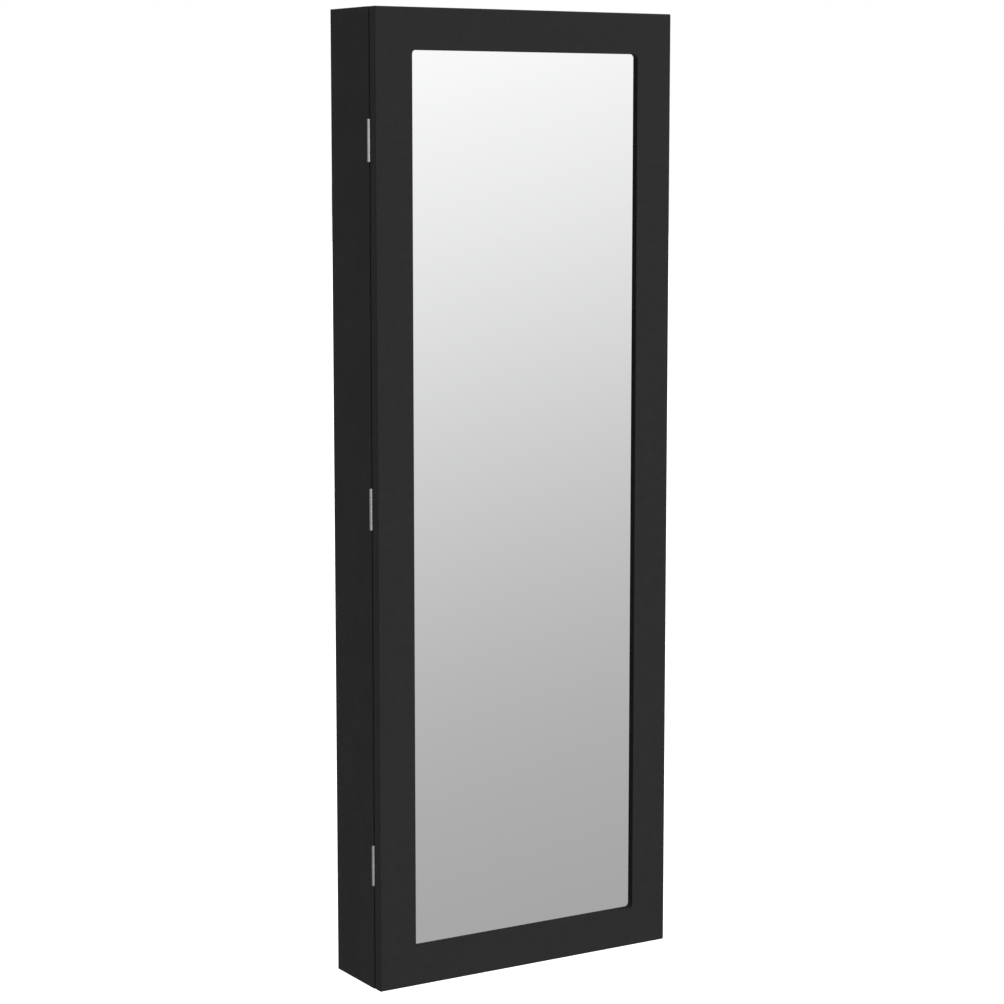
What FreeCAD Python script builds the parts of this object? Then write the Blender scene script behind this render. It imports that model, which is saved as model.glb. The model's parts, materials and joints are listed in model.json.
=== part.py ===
import FreeCAD, Part
import os
import Sketcher

# Wall-hung jewelry mirror cabinet. Millimetres, +X right, +Z up, the front
# faces -Y and the wall is the plane y = 0. The origin lies midway between the
# two keyhole entry holes by which the cabinet hangs.

V = FreeCAD.Vector
doc = FreeCAD.newDocument("jewelry_mirror_cabinet")
sheet = doc.addObject("Spreadsheet::Sheet", "dims")

DIMS = [
    ("cab_width", 375.0, "overall width"),
    ("cab_height", 1060.0, "overall height"),
    ("cab_depth", 100.0, "wall to the door's front face"),
    ("hang_below_top", 210.0, "keyhole entry holes below the top"),
    ("hang_half", 181.0, "keyhole centre from the middle"),
    ("hang_plate_t", 0.8, "keyhole plate thickness"),
    ("hang_plate_w", 12.0, "keyhole plate width"),
    ("hang_plate_up", 23.0, "plate above the entry hole's centre"),
    ("hang_plate_down", 12.0, "plate below the entry hole's centre"),
    ("key_entry_rad", 4.2, "entry hole radius"),
    ("key_slot_half", 2.2, "slot half width"),
    ("key_rise", 11.0, "slot end above the entry hole"),
    ("key_pocket_deep", 8.0, "routed pocket behind the plate"),
    ("panel_t", 15.0, "carcass board"),
    ("shelf_t", 9.0, "shelf board"),
    ("back_t", 3.0, "back panel"),
    ("back_lap", 4.0, "rabbet the back panel sits in"),
    ("lining_t", 1.5, "flocked lining board"),
    ("door_t", 12.0, "door frame board"),
    ("door_gap", 2.5, "seam between door and carcass"),
    ("frame_w", 44.6, "door frame's visible member width"),
    ("opening_rad", 4.5, "corner radius of the mirror opening"),
    ("mirror_recess", 4.5, "mirror behind the frame's front"),
    ("glass_t", 4.0, "mirror glass"),
    ("glass_lap", 6.0, "glass behind the frame each side"),
    ("board_lap", 15.2, "door back board beyond the opening"),
    ("board_t", 3.0, "door back board"),
    ("edge_round", 1.8, "roundover on the door's front edges"),
    ("edge_ease", 0.6, "eased edges"),
    ("bay_a", 90.0, "top bay height"),
    ("bay_b", 380.0, "necklace and ring bay height"),
    ("bay_c", 120.0, "bracelet bay height"),
    ("bay_d", 115.0, "upper open bay height"),
    ("bay_e", 130.0, "lower open bay height"),
    ("shelf_front", 60.0, "shelf front edge from the wall"),
    ("dado_deep", 3.0, "shelf groove in the side panels"),
    ("div_x", 18.0, "divider's left face left of the middle"),
    ("rail_rad", 2.0, "guard rail rod radius"),
    ("rail_in", 6.0, "guard rail end in the side panel"),
    ("rail_up", 22.0, "guard rail above its shelf"),
    ("rail_y", 56.0, "guard rail from the wall"),
    ("dowel_rad", 4.0, "dowel radius"),
    ("dowel_side", 10.0, "dowel in the side panel"),
    ("dowel_len", 30.0, "dowel length"),
    ("hinge_len", 45.0, "hinge length over the pin heads"),
    ("hinge_pitch", 391.0, "hinge spacing"),
    ("hinge_mid", 530.0, "middle hinge below the top"),
    ("hinge_out", 0.5, "pin axis outside the side"),
    ("knuckle_rad", 2.0, "knuckle radius"),
    ("pin_rad", 1.2, "hinge pin radius"),
    ("pin_play", 0.05, "running clearance in the door knuckles"),
    ("pin_head", 0.6, "pin head thickness"),
    ("pin_head_rad", 1.8, "pin head radius"),
    ("knuckle_gap", 0.25, "gap between knuckles"),
    ("leaf_t", 0.7, "hinge leaf thickness"),
    ("leaf_w", 14.0, "hinge leaf width from the axis"),
    ("leaf_play", 0.55, "leaf face to the hinge plane"),
    ("relief_rad", 2.35, "groove in the boards round the knuckles"),
    ("hinge_screw_x", 8.5, "hinge screws from the axis"),
    ("hinge_screw_z", 13.0, "hinge screws from the hinge's middle"),
    ("screw_rad", 1.1, "small screw shank radius"),
    ("screw_head", 2.2, "small screw head radius"),
    ("screw_deep", 10.0, "small screw length in the board"),
    ("lock_y", 70.0, "lock axis from the wall"),
    ("lock_below", 530.0, "lock axis below the top"),
    ("lock_rad", 8.0, "lock barrel radius"),
    ("lock_flange", 11.0, "lock flange radius"),
    ("lock_flange_t", 2.0, "lock flange thickness"),
    ("lock_len", 20.0, "lock barrel length"),
    ("plug_rad", 5.5, "lock plug radius"),
    ("plug_play", 0.05, "plug running clearance"),
    ("cam_t", 1.8, "cam thickness"),
    ("cam_len", 14.0, "cam arm from the lock axis"),
    ("cam_half", 4.0, "cam arm half width"),
    ("hook_rad", 1.2, "hook wire radius"),
    ("hook_out", 15.0, "cabinet hook from its rail to the wire's middle"),
    ("hook_tip", 10.0, "hook tip above the shank"),
    ("hook_bend", 3.5, "hook bend radius"),
    ("hook_pitch", 24.0, "cabinet hook spacing"),
    ("hook_count", 6.0, "cabinet hooks"),
    ("hook_in", 5.0, "hook shank in its rail"),
    ("dhook_out", 11.0, "door hook from its rail to the wire's middle"),
    ("dhook_pitch", 30.0, "door hook spacing"),
    ("dhook_count", 8.0, "door hooks on each rail"),
    ("roll_count", 8.0, "ring rolls"),
    ("roll_pitch", 17.8, "ring roll spacing"),
    ("roll_half", 8.6, "ring roll half height"),
    ("roll_deep", 13.5, "ring roll depth"),
    ("ear_rad", 1.1, "earring hole radius"),
    ("ear_cols", 14.0, "earring holes in a row"),
    ("ear_rows", 6.0, "rows of earring holes"),
    ("socket", 22.0, "lipstick socket size"),
    ("socket_pitch", 27.0, "lipstick socket spacing"),
    ("socket_count", 6.0, "lipstick sockets"),
]
for row, (alias, value, note) in enumerate(DIMS, start=1):
    sheet.set("A%d" % row, alias)
    sheet.set("B%d" % row, repr(value))
    sheet.set("C%d" % row, note)
    sheet.setAlias("B%d" % row, alias)
doc.recompute()


class Q:
    """A size with its value in mm and the sheet formula that gives it."""

    def __init__(self, val, txt):
        self.val = float(val)
        self.txt = txt

    def __add__(self, o):
        o = q(o)
        return Q(self.val + o.val, "(%s + %s)" % (self.txt, o.txt))

    def __radd__(self, o):
        return q(o) + self

    def __sub__(self, o):
        o = q(o)
        return Q(self.val - o.val, "(%s - %s)" % (self.txt, o.txt))

    def __rsub__(self, o):
        return q(o) - self

    def __mul__(self, o):
        o = q(o)
        return Q(self.val * o.val, "(%s * %s)" % (self.txt, o.txt))

    def __rmul__(self, o):
        return q(o) * self

    def __truediv__(self, o):
        o = q(o)
        return Q(self.val / o.val, "(%s / %s)" % (self.txt, o.txt))

    def __neg__(self):
        return Q(-self.val, "(0 - %s)" % self.txt)


def q(x):
    if isinstance(x, Q):
        return x
    x = float(x)
    return Q(x, "%.6g" % x if x >= 0 else "(0 - %.6g)" % -x)


class D:
    pass


for alias, value, note in DIMS:
    setattr(D, alias, Q(value, "dims." + alias))


def bind(obj, prop, size):
    obj.setExpression(prop, q(size).txt)


# ---------------------------------------------------------------- derived
X_OUT = D.cab_width / 2
X_IN = X_OUT - D.panel_t
Z_TOP = D.hang_below_top
Z_BOT = Z_TOP - D.cab_height
Z_IN_TOP = Z_TOP - D.panel_t
Z_IN_BOT = Z_BOT + D.panel_t
Y_REAR = -D.hang_plate_t                       # carcass rear
Y_BACK = Y_REAR - D.back_t                     # back panel's inner face
Y_LINE = Y_BACK - D.lining_t                   # lining's face
Y_DOOR_F = -D.cab_depth
Y_DOOR_B = Y_DOOR_F + D.door_t
Y_CARC_F = Y_DOOR_B + D.door_gap
Y_SHELF = -D.shelf_front
Y_AX = Y_DOOR_B + D.door_gap / 2               # hinge axis
X_AX = -(X_OUT + D.hinge_out)
Z_HINGES = [Z_TOP - D.hinge_mid + D.hinge_pitch * k for k in (1, 0, -1)]
S1 = Z_IN_TOP - D.bay_a                        # shelf top faces
S2 = S1 - D.shelf_t - D.bay_b
S3 = S2 - D.shelf_t - D.bay_c
S4 = S3 - D.shelf_t - D.bay_d
S5 = S4 - D.shelf_t - D.bay_e
DIV_L = -D.div_x
DIV_R = DIV_L + D.shelf_t
OPEN_X = X_OUT - D.frame_w
OPEN_ZT = Z_TOP - D.frame_w
OPEN_ZB = Z_BOT + D.frame_w
Z_LOCK = Z_TOP - D.lock_below
Y_LOCK = -D.lock_y

NODES = []


def node(obj, name):
    obj.Label = name
    NODES.append((name, obj))
    return obj


# ---------------------------------------------------------------- helpers
def origin_feature(body, role):
    for f in body.Origin.OriginFeatures:
        if f.Role == role:
            return f


def body(name):
    b = doc.addObject("PartDesign::Body", name + "_body")
    b.Label = name
    return b


def sketch(b, role, offset=0):
    """A sketch on one of the body's origin planes, offset along its normal.
    XY looks along +Z, XZ along -Y (x right, z up), YZ along +X (y, z)."""
    sk = b.newObject("Sketcher::SketchObject", "sketch")
    sk.AttachmentSupport = [(origin_feature(b, role), "")]
    sk.MapMode = "FlatFace"
    sk.AttachmentOffset = FreeCAD.Placement(V(0, 0, q(offset).val), FreeCAD.Rotation())
    bind(sk, "AttachmentOffset.Base.z", offset)
    return sk


def fix(sk, geo, pos, x, y):
    for kind, size, axis in (("DistanceX", q(x), -2), ("DistanceY", q(y), -1)):
        if abs(size.val) < 1e-9:
            sk.addConstraint(Sketcher.Constraint("PointOnObject", geo, pos, axis))
        else:
            i = sk.addConstraint(Sketcher.Constraint(kind, -1, 1, geo, pos, size.val))
            sk.setExpression("Constraints[%d]" % i, size.txt)


def poly(sk, pts):
    base = sk.GeometryCount
    n = len(pts)
    vs = [V(q(x).val, q(y).val, 0) for x, y in pts]
    for i in range(n):
        sk.addGeometry(Part.LineSegment(vs[i], vs[(i + 1) % n]), False)
    for i in range(n):
        sk.addConstraint(Sketcher.Constraint("Coincident", base + i, 2, base + (i + 1) % n, 1))
    for i, (x, y) in enumerate(pts):
        fix(sk, base + i, 1, x, y)


def rect(sk, x0, y0, x1, y1):
    poly(sk, [(x0, y0), (x1, y0), (x1, y1), (x0, y1)])


def circ(sk, x, y, r):
    i = sk.addGeometry(Part.Circle(V(q(x).val, q(y).val, 0), V(0, 0, 1), q(r).val), False)
    fix(sk, i, 3, x, y)
    c = sk.addConstraint(Sketcher.Constraint("Radius", i, q(r).val))
    sk.setExpression("Constraints[%d]" % c, q(r).txt)


def pad(b, sk, length, back=False):
    f = b.newObject("PartDesign::Pad", "pad")
    f.Profile = sk
    f.Length = q(length).val
    bind(f, "Length", length)
    f.Reversed = back
    doc.recompute()
    return f


def pocket(b, sk, length, along=False):
    """Cuts against the sketch's normal, or along it."""
    before = b.Shape.Volume
    f = b.newObject("PartDesign::Pocket", "pocket")
    f.Profile = sk
    f.Length = q(length).val
    bind(f, "Length", length)
    f.Reversed = along
    doc.recompute()
    if not b.Shape.Volume < before - 1e-3:
        raise RuntimeError("pocket in %s cuts nothing" % b.Label)
    return f


def pattern(b, feats, role, pitch, count, role2=None, pitch2=None, count2=None):
    f = b.newObject("PartDesign::LinearPattern", "pattern")
    if len(feats) == 1:
        f.Originals = feats
    else:
        f.TransformMode = "Whole shape"
    f.Direction = (origin_feature(b, role), [""])
    f.Length = (q(pitch) * (q(count) - 1)).val
    bind(f, "Length", q(pitch) * (q(count) - 1))
    f.Occurrences = int(q(count).val)
    bind(f, "Occurrences", count)
    if role2:
        f.Direction2 = (origin_feature(b, role2), [""])
        f.Length2 = (q(pitch2) * (q(count2) - 1)).val
        bind(f, "Length2", q(pitch2) * (q(count2) - 1))
        f.Occurrences2 = int(q(count2).val)
        bind(f, "Occurrences2", count2)
    b.Tip = f
    doc.recompute()
    return f


def edges(shape, test):
    """Names of the edges whose bounding box passes the test."""
    names = []
    for i, e in enumerate(shape.Edges, start=1):
        bb = e.BoundBox
        if test(bb):
            names.append("Edge%d" % i)
    return names


def near(a, b, tol=0.02):
    return abs(a - q(b).val) < tol


def fillet(b, base, names, radius, kind="PartDesign::Fillet", prop="Radius"):
    if not names:
        raise RuntimeError("no edges to ease on %s" % b.Label)
    f = b.newObject(kind, "ease")
    f.Base = (base, names)
    setattr(f, prop, q(radius).val)
    bind(f, prop, radius)
    doc.recompute()
    return f


def place(obj, x=0, y=0, z=0, rot=None):
    obj.Placement = FreeCAD.Placement(V(q(x).val, q(y).val, q(z).val), rot or FreeCAD.Rotation())
    for axis, size in (("x", x), ("y", y), ("z", z)):
        if isinstance(size, Q):
            bind(obj, "Placement.Base." + axis, size)


def box(name, x0, x1, y0, y1, z0, z1):
    o = doc.addObject("Part::Box", name)
    for prop, a, c in (("Length", x0, x1), ("Width", y0, y1), ("Height", z0, z1)):
        setattr(o, prop, (q(c) - q(a)).val)
        bind(o, prop, q(c) - q(a))
    place(o, q(x0), q(y0), q(z0))
    return o


ROT = {
    "z": FreeCAD.Rotation(),
    "x": FreeCAD.Rotation(V(0, 1, 0), 90),      # length runs along +X
    "y": FreeCAD.Rotation(V(1, 0, 0), -90),     # length runs along +Y
    "-y": FreeCAD.Rotation(V(1, 0, 0), 90),     # length runs along -Y
}


def cyl(name, axis, x, y, z, r, length):
    o = doc.addObject("Part::Cylinder", name)
    o.Radius = q(r).val
    bind(o, "Radius", r)
    o.Height = q(length).val
    bind(o, "Height", length)
    place(o, q(x), q(y), q(z), ROT[axis])
    return o


def cone(name, axis, x, y, z, r1, r2, length):
    o = doc.addObject("Part::Cone", name)
    for prop, size in (("Radius1", r1), ("Radius2", r2), ("Height", length)):
        setattr(o, prop, q(size).val)
        bind(o, prop, size)
    place(o, q(x), q(y), q(z), ROT[axis])
    return o


def fuse(name, parts):
    o = doc.addObject("Part::MultiFuse", name)
    o.Shapes = parts
    return o


def cut(name, base, tool):
    o = doc.addObject("Part::Cut", name)
    o.Base = base
    o.Tool = tool
    doc.recompute()
    if not o.Shape.Volume < base.Shape.Volume - 1e-4:
        raise RuntimeError("%s cuts nothing" % name)
    return o


def group(name, parts):
    o = doc.addObject("Part::Compound", name)
    o.Links = parts
    return o


def turned(name, profile, axis, x, y, z):
    """A body turned about its own Z from (radius, height) points."""
    b = body(name)
    sk = sketch(b, "XZ_Plane")
    poly(sk, profile)
    f = b.newObject("PartDesign::Revolution", "turn")
    f.Profile = sk
    f.ReferenceAxis = (sk, ["V_Axis"])
    f.Angle = 360.0
    doc.recompute()
    place(b, q(x), q(y), q(z), ROT[axis])
    return b, f


# ---------------------------------------------------------------- carcass
NAIL_X = X_OUT - 13.0
NAIL_ZS = [Z_BOT + 40.0 + k * 190.0 for k in range(6)]
NAIL_XS = [-150.0, 0.0, 150.0]
NAIL_ZT = Z_IN_TOP + 2.0
NAIL_ZB = Z_IN_BOT - 2.0
SHELVES = [S1, S2, S3, S4, S5]
DOWEL_YS = [-25.0, -66.0]
DOWEL_ZS = [Z_TOP - D.panel_t / 2, Z_BOT + D.panel_t / 2]
RAIL_ZS = [S1 + D.rail_up, S4 + D.rail_up, S5 + D.rail_up, Z_IN_BOT + D.rail_up]
Y_RAIL = -D.rail_y
ROD_Z = S2 - D.shelf_t - 45.0
ROD_Y = q(-34.0)
ROD_R = q(5.0)
MAG_X = X_OUT - D.panel_t / 2
MAG_ZS = [Z_TOP - 60.0, Z_BOT + 60.0]
HANG_ZS = [D.hang_plate_up - 4.5, -(D.hang_plate_down - 3.6)]


def side_panel(name, s):
    b = body(name)
    out, inn = s * X_OUT, s * X_IN
    lo, hi = (out, inn) if s < 0 else (inn, out)
    sk = sketch(b, "XY_Plane", Z_BOT)
    rect(sk, lo, Y_CARC_F, hi, Y_REAR)
    p = pad(b, sk, D.cab_height)
    # eased outer vertical edges
    fillet(b, p, edges(b.Shape, lambda bb: bb.ZLength > 900 and near(bb.XMin, out)), D.edge_ease)
    # stopped rabbet for the back panel
    sk = sketch(b, "XY_Plane", Z_IN_BOT - D.back_lap)
    rab = s * (X_IN + D.back_lap)
    a, c = (rab, inn) if s < 0 else (inn, rab)
    rect(sk, a, Y_BACK, c, Y_REAR)
    pocket(b, sk, Z_IN_TOP - Z_IN_BOT + 2 * D.back_lap, along=True)
    # grooves that hold the shelves
    sk = sketch(b, "YZ_Plane", inn)
    for top in SHELVES:
        rect(sk, Y_SHELF, top - D.shelf_t, Y_BACK, top)
    pocket(b, sk, D.dado_deep, along=s > 0)
    # dowel holes, guard rail holes
    sk = sketch(b, "YZ_Plane", inn)
    for y in DOWEL_YS:
        for z in DOWEL_ZS:
            circ(sk, y, z, D.dowel_rad)
    pocket(b, sk, D.dowel_side, along=s > 0)
    sk = sketch(b, "YZ_Plane", inn)
    for z in RAIL_ZS:
        circ(sk, Y_RAIL, z, D.rail_rad)
    pocket(b, sk, D.rail_in, along=s > 0)
    # nail holes in the rabbet
    sk = sketch(b, "XZ_Plane", -Y_BACK)
    for z in NAIL_ZS:
        circ(sk, s * NAIL_X, z, 0.7)
    pocket(b, sk, 13.0, along=True)
    # pocket for the wall screw's head, and the plate's screw holes
    sk = sketch(b, "XZ_Plane", -Y_REAR)
    hx = s * D.hang_half
    rect(sk, hx - 4.5, -5.0, hx + 4.5, D.key_rise + 5.0)
    pocket(b, sk, D.key_pocket_deep, along=True)
    sk = sketch(b, "XZ_Plane", -Y_REAR)
    for z in HANG_ZS:
        circ(sk, hx, z, 1.2)
    pocket(b, sk, 14.0, along=True)
    if s < 0:
        # the bracelet rod's seat
        sk = sketch(b, "YZ_Plane", inn)
        circ(sk, ROD_Y, ROD_Z, ROD_R)
        pocket(b, sk, 4.0)
        # hinge screw holes and the grooves round the knuckles
        sk = sketch(b, "XZ_Plane", -Y_CARC_F)
        for zc in Z_HINGES:
            for k in (-1, 1):
                circ(sk, X_AX + D.hinge_screw_x, zc + k * D.hinge_screw_z, D.screw_rad)
        pocket(b, sk, D.screw_deep)
        sk = sketch(b, "XY_Plane", Z_HINGES[2] - D.hinge_len / 2 - 0.3)
        circ(sk, X_AX, Y_AX, D.relief_rad)
        g = pocket(b, sk, D.hinge_len + 0.6, along=True)
        pattern(b, [g], "Z_Axis", D.hinge_pitch, 3)
    else:
        # magnet bores, lock bore, and a notch for a fingertip
        sk = sketch(b, "XZ_Plane", -Y_CARC_F)
        for z in MAG_ZS:
            circ(sk, MAG_X, z, 5.0)
        pocket(b, sk, 3.0)
        sk = sketch(b, "YZ_Plane", X_OUT)
        circ(sk, Y_LOCK, Z_LOCK, D.lock_rad)
        pocket(b, sk, D.panel_t)
        sk = sketch(b, "YZ_Plane", X_OUT)
        z0 = Z_LOCK + 60.0
        poly(sk, [(Y_CARC_F, z0), (Y_CARC_F + 4.0, z0 + 2.0), (Y_CARC_F + 7.0, z0 + 6.0),
                  (Y_CARC_F + 7.0, z0 + 54.0), (Y_CARC_F + 4.0, z0 + 58.0), (Y_CARC_F, z0 + 60.0)])
        pocket(b, sk, 6.5)
    return node(b, name)


side_panel("side_panel_left", -1)
side_panel("side_panel_right", 1)


def end_panel(name, z0, z1, inner, s):
    b = body(name)
    sk = sketch(b, "XY_Plane", z0)
    rect(sk, -X_IN, Y_CARC_F, X_IN, Y_REAR)
    pad(b, sk, D.panel_t)
    sk = sketch(b, "YZ_Plane", -X_IN)
    a, c = (inner, inner + D.back_lap) if s > 0 else (inner - D.back_lap, inner)
    rect(sk, Y_BACK, a, Y_REAR, c)
    pocket(b, sk, X_IN * 2, along=True)
    zc = z0 + D.panel_t / 2
    for x, along in ((-X_IN, True), (X_IN, False)):
        sk = sketch(b, "YZ_Plane", x)
        for y in DOWEL_YS:
            circ(sk, y, zc, D.dowel_rad)
        pocket(b, sk, D.dowel_len - D.dowel_side, along=along)
    sk = sketch(b, "XZ_Plane", -Y_BACK)
    for x in NAIL_XS:
        circ(sk, x, NAIL_ZT if s > 0 else NAIL_ZB, 0.7)
    pocket(b, sk, 13.0, along=True)
    return node(b, name)


end_panel("top_panel", Z_IN_TOP, Z_TOP, Z_IN_TOP, 1)
end_panel("bottom_panel", Z_BOT, Z_IN_BOT, Z_IN_BOT, -1)

# dowels: two at each end of the top and bottom panels
b = body("panel_dowels")
sk = sketch(b, "YZ_Plane", -(X_IN + D.dowel_side))
for y in DOWEL_YS:
    for z in DOWEL_ZS:
        circ(sk, y, z, D.dowel_rad)
p = pad(b, sk, D.dowel_len)
pattern(b, [p], "X_Axis", (X_IN + D.dowel_side) * 2 - D.dowel_len, 2)
node(b, "panel_dowels")

# back panel with its nail holes and the cut-outs for the wall screws' heads
b = body("back_panel")
BX = X_IN + D.back_lap
sk = sketch(b, "XZ_Plane", -Y_REAR)
rect(sk, -BX, Z_IN_BOT - D.back_lap, BX, Z_IN_TOP + D.back_lap)
pad(b, sk, D.back_t)
nail_spots = [(s * NAIL_X, z) for s in (-1, 1) for z in NAIL_ZS]
nail_spots += [(q(x), z) for x in NAIL_XS for z in (NAIL_ZT, NAIL_ZB)]
sk = sketch(b, "XZ_Plane", -Y_REAR)
for x, z in nail_spots:
    circ(sk, x, z, 0.7)
pocket(b, sk, D.back_t, along=True)
sk = sketch(b, "XZ_Plane", -Y_REAR)
for x, z in nail_spots:
    circ(sk, x, z, 1.4)
pocket(b, sk, 0.6, along=True)
node(b, "back_panel")

# nails: a flat head let into the back panel, and a thin shank
NAIL = [(0, 0), (1.4, 0), (1.4, 0.6), (0.7, 0.6), (0.7, 16.0), (0, 16.0)]
b1, f = turned("nails_sides", NAIL, "-y", -NAIL_X, Y_REAR, NAIL_ZS[0])
pattern(b1, [f], "X_Axis", NAIL_X * 2, 2, "Y_Axis", 190.0, 6)
b2, f = turned("nails_ends", NAIL, "-y", -150.0, Y_REAR, NAIL_ZB)
pattern(b2, [f], "X_Axis", 150.0, 3, "Y_Axis", NAIL_ZT - NAIL_ZB, 2)
node(group("nails_all", [b1, b2]), "back_panel_nails")

# flocked lining board over the whole back, between the side panels
node(box("back_lining_box", -X_IN, X_IN, Y_LINE, Y_BACK, Z_IN_BOT, Z_IN_TOP), "back_lining")

# five shelves in their grooves
SHX = X_IN + D.dado_deep
for i, top in enumerate(SHELVES, start=1):
    b = body("shelf_%d" % i)
    sk = sketch(b, "XY_Plane", top - D.shelf_t)
    rect(sk, -SHX, Y_SHELF, SHX, Y_LINE)
    p = pad(b, sk, D.shelf_t)
    fillet(b, p, edges(b.Shape, lambda bb: bb.XLength > 300 and near(bb.YMin, Y_SHELF) and bb.YLength < 0.1), 1.0)
    node(b, "shelf_%d" % i)

# dividers between the ring side and the necklace side
for name, top, low in (("divider_upper", S1 - D.shelf_t, S2), ("divider_middle", S2 - D.shelf_t, S3)):
    b = body(name)
    sk = sketch(b, "XY_Plane", low)
    rect(sk, DIV_L, Y_SHELF, DIV_R, Y_LINE)
    p = pad(b, sk, top - low)
    fillet(b, p, edges(b.Shape, lambda bb: bb.ZLength > 90 and near(bb.YMin, Y_SHELF) and bb.YLength < 0.1), 1.0)
    if name == "divider_middle":
        sk = sketch(b, "YZ_Plane", DIV_L)
        circ(sk, ROD_Y, ROD_Z, ROD_R)
        pocket(b, sk, 4.0, along=True)
    node(b, name)

# guard rails: plain rods across the open bays
for i, z in enumerate(RAIL_ZS, start=1):
    node(cyl("guard_rod_%d" % i, "x", -(X_IN + D.rail_in), Y_RAIL, z, D.rail_rad, (X_IN + D.rail_in) * 2), "guard_rail_%d" % i)

# bracelet rod
node(cyl("bracelet_cyl", "x", -(X_IN + 4.0), ROD_Y, ROD_Z, ROD_R, X_IN + 8.0 + DIV_L), "bracelet_rod")


# ---------------------------------------------------------------- hooks
def hook_set(name, x0, y, z, out, pitch, count, sgn, rows=None, row_pitch=None):
    """L-shaped hooks: shank in the rail, out along sgn*Y, a bend, a tip with
    a ball end. The first one is made at its place in local coordinates."""
    b = body(name)
    r = D.hook_bend
    path = sketch(b, "YZ_Plane")
    y0 = -sgn * D.hook_in
    y1 = sgn * (out - r)
    y2 = sgn * out
    v0, v1 = V(q(y0).val, 0, 0), V(q(y1).val, 0, 0)
    v2, v3 = V(q(y2).val, r.val, 0), V(q(y2).val, q(D.hook_tip).val, 0)
    cy = r.val
    path.addGeometry(Part.LineSegment(v0, v1), False)
    c = V(q(y1).val, cy, 0)
    if sgn > 0:
        arc = Part.ArcOfCircle(Part.Circle(c, V(0, 0, 1), r.val), 1.5 * 3.141592653589793, 2 * 3.141592653589793)
        a_start, a_end = 1, 2
    else:
        arc = Part.ArcOfCircle(Part.Circle(c, V(0, 0, 1), r.val), 3.141592653589793, 1.5 * 3.141592653589793)
        a_start, a_end = 2, 1
    path.addGeometry(arc, False)
    path.addGeometry(Part.LineSegment(v2, v3), False)
    path.addConstraint(Sketcher.Constraint("Coincident", 0, 2, 1, a_start))
    path.addConstraint(Sketcher.Constraint("Coincident", 1, a_end, 2, 1))
    fix(path, 0, 1, y0, 0)
    fix(path, 0, 2, y1, 0)
    fix(path, 1, 3, y1, r)
    i = path.addConstraint(Sketcher.Constraint("DistanceY", -1, 1, 2, 1, r.val))
    path.setExpression("Constraints[%d]" % i, r.txt)
    fix(path, 2, 2, y2, D.hook_tip)
    prof = sketch(b, "XZ_Plane", -q(y0))
    circ(prof, 0, 0, D.hook_rad)
    pipe = b.newObject("PartDesign::AdditivePipe", "wire")
    pipe.Profile = prof
    pipe.Spine = (path, [])
    doc.recompute()
    ball = b.newObject("PartDesign::AdditiveSphere", "ball")
    ball.Radius = 1.7
    bind(ball, "Radius", D.hook_rad + 0.5)
    ball.Placement = FreeCAD.Placement(V(0, q(y2).val, D.hook_tip.val), FreeCAD.Rotation())
    bind(ball, "Placement.Base.y", y2)
    bind(ball, "Placement.Base.z", D.hook_tip)
    doc.recompute()
    if rows:
        pattern(b, [pipe, ball], "X_Axis", pitch, count, "Z_Axis", row_pitch, rows)
    else:
        pattern(b, [pipe, ball], "X_Axis", pitch, count)
    place(b, q(x0), q(y), q(z))
    return node(b, name)


# necklace rail and hooks in the left half
NR_Z0 = S1 - D.shelf_t - 32.0
NR_Y = Y_LINE - 8.0
NR_X = (DIV_L - X_IN) / 2
HOOK_Z = NR_Z0 + 6.0
hx0 = NR_X - D.hook_pitch * (D.hook_count - 1) / 2
b = body("necklace_rail")
sk = sketch(b, "XZ_Plane", -Y_LINE)
rect(sk, -X_IN, NR_Z0, DIV_L, NR_Z0 + 20.0)
p = pad(b, sk, 8.0)
fillet(b, p, edges(b.Shape, lambda bb: bb.XLength > 100 and near(bb.YMin, NR_Y) and bb.YLength < 0.1), 1.5)
sk = sketch(b, "XZ_Plane", -NR_Y)
circ(sk, hx0, HOOK_Z, D.hook_rad)
p = pocket(b, sk, D.hook_in)
pattern(b, [p], "X_Axis", D.hook_pitch, D.hook_count)
node(b, "necklace_rail")
hook_set("necklace_hooks", hx0, NR_Y, HOOK_Z, D.hook_out, D.hook_pitch, D.hook_count, -1)

# ---------------------------------------------------------------- rings
# a shallow tray on the lining, with padded rolls that grip the rings
RT_X0 = DIV_R + 4.0
RT_X1 = X_IN - 4.0
RT_Z1 = S1 - D.shelf_t - 8.0
RT_H = D.roll_pitch * (D.roll_count - 1) + D.roll_half * 2 + 7.2
RT_Z0 = RT_Z1 - RT_H
b = body("ring_tray")
sk = sketch(b, "XZ_Plane", -Y_LINE)
rect(sk, RT_X0, RT_Z0, RT_X1, RT_Z1)
p = pad(b, sk, 13.0)
sk = sketch(b, "XZ_Plane", -(Y_LINE - 13.0))
rect(sk, RT_X0 + 3.0, RT_Z0 + 3.0, RT_X1 - 3.0, RT_Z1 - 3.0)
pocket(b, sk, 10.0)
node(b, "ring_tray")

b = body("ring_cushion")
sk = sketch(b, "YZ_Plane", RT_X0 + 3.6)
zc = RT_Z0 + 3.6 + D.roll_half
ya = Y_LINE - 3.2
h = D.roll_half
d = D.roll_deep
poly(sk, [(ya, zc - h), (ya, zc + h), (ya - d * 0.55, zc + h), (ya - d * 0.85, zc + h * 0.72),
          (ya - d, zc + h * 0.25), (ya - d, zc - h * 0.25), (ya - d * 0.85, zc - h * 0.72), (ya - d * 0.55, zc - h)])
p = pad(b, sk, RT_X1 - RT_X0 - 7.2)
pattern(b, [p], "Z_Axis", D.roll_pitch, D.roll_count)
node(b, "ring_cushion")

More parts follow.
